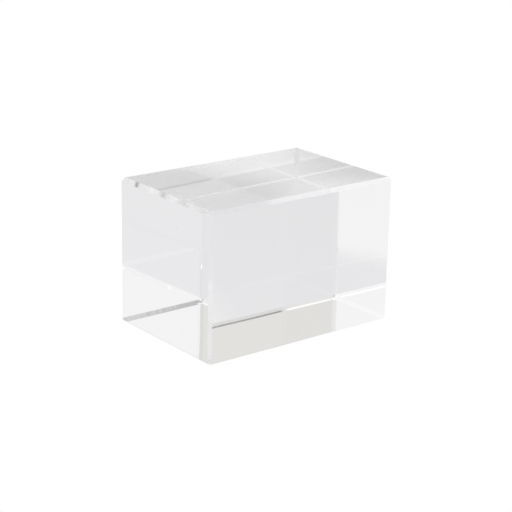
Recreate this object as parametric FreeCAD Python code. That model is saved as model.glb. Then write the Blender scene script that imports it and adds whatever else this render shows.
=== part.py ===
"""Solid clear acrylic display block, cut from one slab, with polished faces and bevelled edges.

Frame: millimetres, +Z up, origin at the middle of the face that it stands on.
+X runs along the block's length, and -Y is the long face that is turned to the viewer.
"""

import FreeCAD, Part

import os

# Driving dimensions, in millimetres
LENGTH = 76.2  # along X, 3 in
WIDTH = 50.8  # along Y, 2 in
HEIGHT = 50.8  # along Z, 2 in
TOP_BEVEL = 1.3  # leg of the 45 degree bevel along each edge of the top
SIDE_BEVEL = 1.0  # the same, along each upright edge
BASE_BEVEL = 0.9  # the same, along each edge of the base

AXES = range(3)  # X, Y and Z
Z = 2
SIGNS = (-1, 1)
HALF_SIZE = (LENGTH / 2, WIDTH / 2, HEIGHT / 2)
CENTRE = FreeCAD.Vector(0, 0, HEIGHT / 2)


def bevel_leg(first_axis, second_axis, z_sign):
    """Leg of the bevel on the edge where the faces across two axes meet."""
    if Z not in (first_axis, second_axis):
        return SIDE_BEVEL
    return TOP_BEVEL if z_sign > 0 else BASE_BEVEL


def flat_corner(face_axis, signs):
    """Where the flat of the face across face_axis ends, at the block's corner that signs name."""
    place = []
    for axis in AXES:
        inset = 0 if axis == face_axis else bevel_leg(face_axis, axis, signs[Z])
        place.append(signs[axis] * (HALF_SIZE[axis] - inset))
    return CENTRE + FreeCAD.Vector(*place)


def corner_signs(axis, sign, first_sign, second_sign):
    """A corner's three signs: one across the axis given, and one across each of the others in turn."""
    signs = [first_sign, second_sign]
    signs.insert(axis, sign)
    return signs


def polygon(corners):
    return Part.Face(Part.makePolygon([*corners, corners[0]]))


def face_flats():
    """The six polished faces, inside their bevels."""
    for axis in AXES:
        for sign in SIGNS:
            turns = ((-1, -1), (1, -1), (1, 1), (-1, 1))
            yield polygon([flat_corner(axis, corner_signs(axis, sign, *turn)) for turn in turns])


def edge_bevels():
    """The twelve bevels, each between the flats of two faces that meet along one axis."""
    for along in AXES:
        first_face, second_face = (axis for axis in AXES if axis != along)
        for first_sign in SIGNS:
            for second_sign in SIGNS:
                start, end = (corner_signs(along, sign, first_sign, second_sign) for sign in SIGNS)
                yield polygon([
                    flat_corner(first_face, start),
                    flat_corner(first_face, end),
                    flat_corner(second_face, end),
                    flat_corner(second_face, start),
                ])


def corner_facets():
    """The eight small triangles that take the points off the corners."""
    for x_sign in SIGNS:
        for y_sign in SIGNS:
            for z_sign in SIGNS:
                yield polygon([flat_corner(axis, (x_sign, y_sign, z_sign)) for axis in AXES])


def acrylic_block():
    """The block as one solid, closed by its flats, bevels and facets."""
    surfaces = Part.Shell([*face_flats(), *edge_bevels(), *corner_facets()])
    block = Part.Solid(surfaces)
    if not (surfaces.isClosed() and block.isValid() and block.Volume > 0):
        raise ValueError("the block should be one closed, valid solid")
    return block


def main():
    os.makedirs("parts", exist_ok=True)
    block = acrylic_block()
    block.exportStep("parts/acrylic_block.step")
    print(f"acrylic_block: {block.Volume:.1f} mm3, {len(block.Faces)} faces")


main()
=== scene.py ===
"""Clear acrylic display block on a pale studio table."""
from collections import namedtuple
import math

import bpy
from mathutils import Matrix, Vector


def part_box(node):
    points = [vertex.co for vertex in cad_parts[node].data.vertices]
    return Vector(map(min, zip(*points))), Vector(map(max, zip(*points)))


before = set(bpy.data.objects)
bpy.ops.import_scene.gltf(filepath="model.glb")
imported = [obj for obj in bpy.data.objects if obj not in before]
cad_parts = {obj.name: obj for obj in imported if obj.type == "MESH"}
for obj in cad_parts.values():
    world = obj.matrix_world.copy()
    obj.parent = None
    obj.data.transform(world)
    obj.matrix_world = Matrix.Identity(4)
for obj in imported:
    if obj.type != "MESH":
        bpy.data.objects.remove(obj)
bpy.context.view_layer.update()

LOW, HIGH = (Vector(corner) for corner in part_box("acrylic_block"))
HEIGHT = HIGH.z - LOW.z
CENTRE = (LOW + HIGH) / 2
MILLIMETRE = 0.001


# ---------------------------------------------------------------- node helpers

def new_tree(owner):
    """The emptied node tree of a material or world."""
    owner.use_nodes = True
    tree = owner.node_tree
    tree.nodes.clear()
    return tree


def put(tree, value, socket):
    """Links an output to the socket, or sets a plain value on it."""
    if isinstance(value, bpy.types.NodeSocket):
        tree.links.new(value, socket)
    else:
        socket.default_value = value


def math_node(tree, operation, *values):
    node = tree.nodes.new("ShaderNodeMath")
    node.operation = operation
    for socket, value in zip(node.inputs, values):
        put(tree, value, socket)
    return node.outputs[0]


def vector_node(tree, operation, *values):
    node = tree.nodes.new("ShaderNodeVectorMath")
    node.operation = operation
    for socket, value in zip(node.inputs, values):
        put(tree, value, socket)
    return node.outputs[0]


def scaled(tree, vector, factor):
    """A vector times a number."""
    product = vector_node(tree, "SCALE", vector)
    put(tree, factor, product.node.inputs["Scale"])
    return product


def split(tree, vector):
    """The three coordinates of a vector."""
    node = tree.nodes.new("ShaderNodeSeparateXYZ")
    tree.links.new(vector, node.inputs[0])
    return node.outputs


def smooth_step(tree, value, start, end):
    """0 at start and 1 at end, with a smooth change between them."""
    node = tree.nodes.new("ShaderNodeMapRange")
    node.interpolation_type = "SMOOTHSTEP"
    put(tree, value, node.inputs["Value"])
    node.inputs["From Min"].default_value = start
    node.inputs["From Max"].default_value = end
    return node.outputs["Result"]


def inside(tree, value, span, soft):
    """1 where a value is within a span, falling to 0 across a soft edge."""
    start, end = span
    middle = (start + end) / 2
    half = (end - start) / 2
    distance = math_node(tree, "ABSOLUTE", math_node(tree, "SUBTRACT", value, middle))
    return smooth_step(tree, distance, half + soft / 2, half - soft / 2)


def mix_number(tree, factor, first, second):
    node = tree.nodes.new("ShaderNodeMix")
    put(tree, factor, node.inputs["Factor"])
    put(tree, first, node.inputs[2])
    put(tree, second, node.inputs[3])
    return node.outputs[0]


def mix_colour(tree, factor, first, second):
    node = tree.nodes.new("ShaderNodeMix")
    node.data_type = "RGBA"
    put(tree, factor, node.inputs["Factor"])
    put(tree, first, node.inputs[6])
    put(tree, second, node.inputs[7])
    return node.outputs[2]


def mix_shader(tree, factor, first, second):
    node = tree.nodes.new("ShaderNodeMixShader")
    put(tree, factor, node.inputs[0])
    tree.links.new(first, node.inputs[1])
    tree.links.new(second, node.inputs[2])
    return node.outputs[0]


def seen_directly(tree, direct, otherwise):
    """One shader where the camera sees the surface itself, and another where the block does."""
    straight = tree.nodes.new("ShaderNodeLightPath").outputs["Is Camera Ray"]
    return mix_shader(tree, straight, otherwise, direct)


def noise(tree, place, feature_size, detail=2):
    """The outputs of a soft noise whose lumps are about feature_size metres across."""
    node = tree.nodes.new("ShaderNodeTexNoise")
    tree.links.new(place, node.inputs["Vector"])
    node.inputs["Scale"].default_value = 1 / feature_size
    node.inputs["Detail"].default_value = detail
    return node.outputs


# ---------------------------------------------------------------- acrylic

ACRYLIC_IOR = 1.49
FACE_ROUGHNESS = 0.02
BEVEL_ROUGHNESS = 0.08  # the bevels are polished less than the faces
FLAT_NORMAL = 0.98  # a face whose normal has a larger part than this along one axis isn't a bevel

FACE_WAVE_SIZE = 20 * MILLIMETRE
FACE_WAVE_SLOPE = 0.01
BEVEL_WAVE_SIZE = 3 * MILLIMETRE
BEVEL_WAVE_SLOPE = 0.02

SMUDGE_SIZE = 9 * MILLIMETRE
SMUDGE_DETAIL = 5
SMUDGE_EDGE = (0.62, 0.75)  # the noise levels where a smudge begins and is full
SMUDGE_ROUGHNESS = 0.026

DUST_SPACING = 9 * MILLIMETRE
DUST_RADIUS = (0.07 * MILLIMETRE, 0.16 * MILLIMETRE)
DUST_ROUGHNESS = 0.6
DUST_COLOUR = (0.32, 0.31, 0.3, 1)
CLEAN_COLOUR = (1, 1, 1, 1)


def bevel_mask(tree):
    """1 on the bevels and corner facets, and 0 on the six polished faces."""
    normal = tree.nodes.new("ShaderNodeNewGeometry").outputs["True Normal"]
    x, y, z = split(tree, vector_node(tree, "ABSOLUTE", normal))
    largest = math_node(tree, "MAXIMUM", math_node(tree, "MAXIMUM", x, y), z)
    return math_node(tree, "LESS_THAN", largest, FLAT_NORMAL)


def tilt(tree, place, feature_size):
    """A slowly changing vector, from about -0.5 to 0.5 along each axis."""
    colour = noise(tree, place, feature_size)["Color"]
    return vector_node(tree, "SUBTRACT", colour, (0.5, 0.5, 0.5))


def wavy_normal(tree, place, bevel):
    """The surface normal, tilted a little by the slow waves that polishing leaves."""
    bevel_slope = math_node(tree, "MULTIPLY", bevel, BEVEL_WAVE_SLOPE)
    face_wave = scaled(tree, tilt(tree, place, FACE_WAVE_SIZE), FACE_WAVE_SLOPE)
    bevel_wave = scaled(tree, tilt(tree, place, BEVEL_WAVE_SIZE), bevel_slope)
    waves = vector_node(tree, "ADD", face_wave, bevel_wave)
    normal = tree.nodes.new("ShaderNodeNewGeometry").outputs["Normal"]
    return vector_node(tree, "NORMALIZE", vector_node(tree, "ADD", normal, waves))


def dust(tree, place):
    """1 on sparse round specks of dust, and 0 between them."""
    node = tree.nodes.new("ShaderNodeTexVoronoi")
    tree.links.new(place, node.inputs["Vector"])
    node.inputs["Scale"].default_value = 1 / DUST_SPACING
    distance = math_node(tree, "MULTIPLY", node.outputs["Distance"], DUST_SPACING)
    chance, _, _ = split(tree, node.outputs["Color"])
    small, large = DUST_RADIUS
    radius = math_node(tree, "MULTIPLY_ADD", chance, large - small, small)
    return math_node(tree, "LESS_THAN", distance, radius)


def roughness(tree, place, bevel, specks):
    """Polished faces with faint smudges, rougher bevels, and rough specks of dust."""
    smudges = smooth_step(tree, noise(tree, place, SMUDGE_SIZE, SMUDGE_DETAIL)["Fac"], *SMUDGE_EDGE)
    face = mix_number(tree, smudges, FACE_ROUGHNESS, SMUDGE_ROUGHNESS)
    clean = mix_number(tree, bevel, face, BEVEL_ROUGHNESS)
    return mix_number(tree, specks, clean, DUST_ROUGHNESS)


def clear_acrylic():
    """Polished acrylic: clear and colourless, with faint waves, smudges and dust."""
    material = bpy.data.materials.new("clear_acrylic")
    tree = new_tree(material)
    output = tree.nodes.new("ShaderNodeOutputMaterial")
    shader = tree.nodes.new("ShaderNodeBsdfPrincipled")
    tree.links.new(shader.outputs[0], output.inputs["Surface"])
    place = tree.nodes.new("ShaderNodeTexCoord").outputs["Object"]
    bevel = bevel_mask(tree)
    specks = dust(tree, place)
    shader.inputs["IOR"].default_value = ACRYLIC_IOR
    put(tree, roughness(tree, place, bevel, specks), shader.inputs["Roughness"])
    put(tree, mix_colour(tree, specks, CLEAN_COLOUR, DUST_COLOUR), shader.inputs["Base Color"])
    put(tree, math_node(tree, "SUBTRACT", 1, specks), shader.inputs["Transmission Weight"])
    put(tree, wavy_normal(tree, place, bevel), shader.inputs["Normal"])
    return material


def dress_block():
    """Gives the block its material."""
    material = clear_acrylic()
    for slot in bpy.data.objects["acrylic_block"].material_slots:
        slot.material = material


# ---------------------------------------------------------------- room

# The room is a soft dome with two softboxes, a backdrop, a white board and some dark things in it.
# Across is the azimuth in degrees from +Y towards +X, and up is the elevation in degrees. Light is
# 1 for white.
Card = namedtuple("Card", "across up light tint")

WHITE = (1, 1, 1)
WARM = (1, 0.99, 0.96)
CARD_SOFTNESS = 5
CARDS = {
    "backdrop": Card((20, 60), (0, 25), 0.75, WARM),
    "left_softbox": Card((-80, -50), (30, 60), 1.3, WARM),
    "right_softbox": Card((100, 115), (35, 55), 1.8, WARM),
    "black_flag": Card((115, 130), (40, 50), 0.3, WHITE),
    "front_board": Card((135, 160), (0, 30), 0.9, WHITE),
    "camera": Card((-150, -135), (10, 25), 0.65, WARM),
    "stand": Card((-130, -125), (10, 25), 0.55, WHITE),
}
DOME_LOW = (0.7, 0.95)  # straight right of the block, and straight left
DOME_HIGH = (0.6, 1.1)
DOME_RISE = (10, 50)  # the elevations between which the low light turns into the high light


def dome(tree, azimuth, elevation):
    """The soft light of the room, brighter on the left."""
    left = math_node(tree, "MULTIPLY_ADD", math_node(tree, "SINE", azimuth), -0.5, 0.5)
    low = mix_number(tree, left, *DOME_LOW)
    high = mix_number(tree, left, *DOME_HIGH)
    return mix_number(tree, smooth_step(tree, elevation, *DOME_RISE), low, high)


def room_colour(tree, direction):
    """The dome, with each card in turn laid over it."""
    x, y, z = split(tree, direction)
    azimuth = math_node(tree, "ARCTAN2", x, y)
    across = math_node(tree, "DEGREES", azimuth)
    up = math_node(tree, "DEGREES", math_node(tree, "ARCSINE", z))
    colour = dome(tree, azimuth, up)
    for card in CARDS.values():
        mask = math_node(
            tree, "MULTIPLY",
            inside(tree, across, card.across, CARD_SOFTNESS),
            inside(tree, up, card.up, CARD_SOFTNESS),
        )
        paint = (*(card.light * part for part in card.tint), 1)
        colour = mix_colour(tree, mask, colour, paint)
    return colour


def room():
    """The room's light, and plain white where the camera sees past the table."""
    world = bpy.data.worlds.new("room")
    bpy.context.scene.world = world
    tree = new_tree(world)
    output = tree.nodes.new("ShaderNodeOutputWorld")
    direction = tree.nodes.new("ShaderNodeTexCoord").outputs["Generated"]
    light = tree.nodes.new("ShaderNodeBackground")
    tree.links.new(room_colour(tree, direction), light.inputs["Color"])
    white = tree.nodes.new("ShaderNodeBackground")
    put(tree, (*WHITE, 1), white.inputs["Color"])
    surface = seen_directly(tree, white.outputs[0], light.outputs[0])
    tree.links.new(surface, output.inputs["Surface"])


# ---------------------------------------------------------------- table

TABLE_SIDE = 4.0
TABLE_GAP = 0.05 * MILLIMETRE  # air under the polished base, which mirrors the inside of the block
TABLE_IOR = 1.45
TABLE_ROUGHNESS = 0.2

# The table's glow is painted light, lighter towards the left softbox. Under the block a soft
# painted shade is laid into it, which is lighter on the far side. Both blends run straight away
# from the softbox, in block heights from the middle of the block.
LIGHT_AZIMUTH = math.radians(sum(CARDS["left_softbox"].across) / 2)
TABLE_BLEND = (-0.8, -0.2)
# Painted light: the glow of the open table near the left softbox, and far from it.
PAINTED_LIGHT_NEAR = (0.96, 0.96, 0.96, 1)
PAINTED_LIGHT_FAR = (0.82, 0.82, 0.84, 1)
# Painted shade under the block: darker near the left softbox, lighter on the far side.
SHADE_BLEND = (0, 0.6)
SHADE_NEAR = (0.65, 0.65, 0.67, 1)
SHADE_FAR = (0.95, 0.95, 0.97, 1)
SHADE_SOFTNESS = 0.12


def painted_table_light(tree, place):
    """The painted light of the open table, with the painted shade laid over it under the block."""
    x, y, _ = split(tree, scaled(tree, place, 1 / HEIGHT))
    away_along_y = math_node(tree, "MULTIPLY", y, -math.cos(LIGHT_AZIMUTH))
    away = math_node(tree, "MULTIPLY_ADD", x, -math.sin(LIGHT_AZIMUTH), away_along_y)
    # Painted light: the open table glows lighter towards the left softbox.
    painted_open_light = mix_colour(tree, smooth_step(tree, away, *TABLE_BLEND), PAINTED_LIGHT_NEAR, PAINTED_LIGHT_FAR)
    # Painted shade of the block, laid over the table's glow within the block's footprint.
    shade = mix_colour(tree, smooth_step(tree, away, *SHADE_BLEND), SHADE_NEAR, SHADE_FAR)
    under_block = math_node(
        tree, "MULTIPLY",
        inside(tree, x, (LOW.x / HEIGHT, HIGH.x / HEIGHT), SHADE_SOFTNESS),
        inside(tree, y, (LOW.y / HEIGHT, HIGH.y / HEIGHT), SHADE_SOFTNESS),
    )
    return mix_colour(tree, under_block, painted_open_light, shade)


def table_material():
    """A pale top glowing with painted light and shade, with a faint sheen, plain white where the
    camera sees it directly.
    """
    material = bpy.data.materials.new("table")
    tree = new_tree(material)
    output = tree.nodes.new("ShaderNodeOutputMaterial")
    geometry = tree.nodes.new("ShaderNodeNewGeometry")
    # The glow carries the painted light and painted shade of the table.
    glow = tree.nodes.new("ShaderNodeEmission")
    tree.links.new(painted_table_light(tree, geometry.outputs["Position"]), glow.inputs["Color"])
    sheen = tree.nodes.new("ShaderNodeBsdfGlossy")
    sheen.inputs["Roughness"].default_value = TABLE_ROUGHNESS
    fresnel = tree.nodes.new("ShaderNodeFresnel")
    fresnel.inputs["IOR"].default_value = TABLE_IOR
    lit = mix_shader(tree, fresnel.outputs[0], glow.outputs[0], sheen.outputs[0])
    white = tree.nodes.new("ShaderNodeEmission")
    top = seen_directly(tree, white.outputs[0], lit)
    open_below = tree.nodes.new("ShaderNodeBsdfTransparent")
    surface = mix_shader(tree, geometry.outputs["Backfacing"], top, open_below.outputs[0])
    tree.links.new(surface, output.inputs["Surface"])
    return material


def table():
    """A large flat table top, just under the block."""
    half = TABLE_SIDE / 2
    z = LOW.z - TABLE_GAP
    mesh = bpy.data.meshes.new("table")
    corners = [(-half, -half, z), (half, -half, z), (half, half, z), (-half, half, z)]
    mesh.from_pydata(corners, [], [(0, 1, 2, 3)])
    mesh.materials.append(table_material())
    piece = bpy.data.objects.new("table", mesh)
    bpy.context.collection.objects.link(piece)


# ---------------------------------------------------------------- camera

CAMERA_AZIMUTH = math.radians(-38.4)
CAMERA_ELEVATION = math.radians(18)
CAMERA_ROLL = math.radians(1.2)
CAMERA_DISTANCE = 10.2  # in block heights
CAMERA_DROP = 0.044  # how far below the block's middle the camera aims, in block heights
CAMERA_CLIP = 0.01
SENSOR = 36
LENS = 107.4


def camera():
    """The camera, to the left of the block's front and a little above it."""
    back = Vector((
        math.sin(CAMERA_AZIMUTH) * math.cos(CAMERA_ELEVATION),
        -math.cos(CAMERA_AZIMUTH) * math.cos(CAMERA_ELEVATION),
        math.sin(CAMERA_ELEVATION),
    ))
    level = Vector((math.cos(CAMERA_AZIMUTH), math.sin(CAMERA_AZIMUTH), 0))
    upright = back.cross(level)
    right = level * math.cos(CAMERA_ROLL) + upright * math.sin(CAMERA_ROLL)
    up = back.cross(right)
    place = CENTRE + (back * CAMERA_DISTANCE - up * CAMERA_DROP) * HEIGHT
    data = bpy.data.cameras.new("camera")
    data.sensor_width = SENSOR
    data.lens = LENS
    data.clip_start = CAMERA_CLIP
    piece = bpy.data.objects.new("camera", data)
    bpy.context.collection.objects.link(piece)
    matrix = piece.matrix_world.copy()
    for column, axis in enumerate((right, up, back, place)):
        matrix.col[column].xyz = axis
    piece.matrix_world = matrix
    bpy.context.scene.camera = piece


# ---------------------------------------------------------------- light paths

BOUNCES = 1024  # light that the bevels catch leaves only after many turns inside the block


def light_paths():
    """Follows light through its turns inside the block, and keeps whites as they are."""
    scene = bpy.context.scene
    scene.cycles.max_bounces = BOUNCES
    scene.cycles.glossy_bounces = BOUNCES
    scene.cycles.transmission_bounces = BOUNCES
    scene.cycles.denoising_input_passes = "RGB_ALBEDO"
    scene.cycles.sampling_pattern = "TABULATED_SOBOL"
    scene.render.dither_intensity = 0
    scene.view_settings.view_transform = "Standard"


camera()
light_paths()
dress_block()
table()
room()
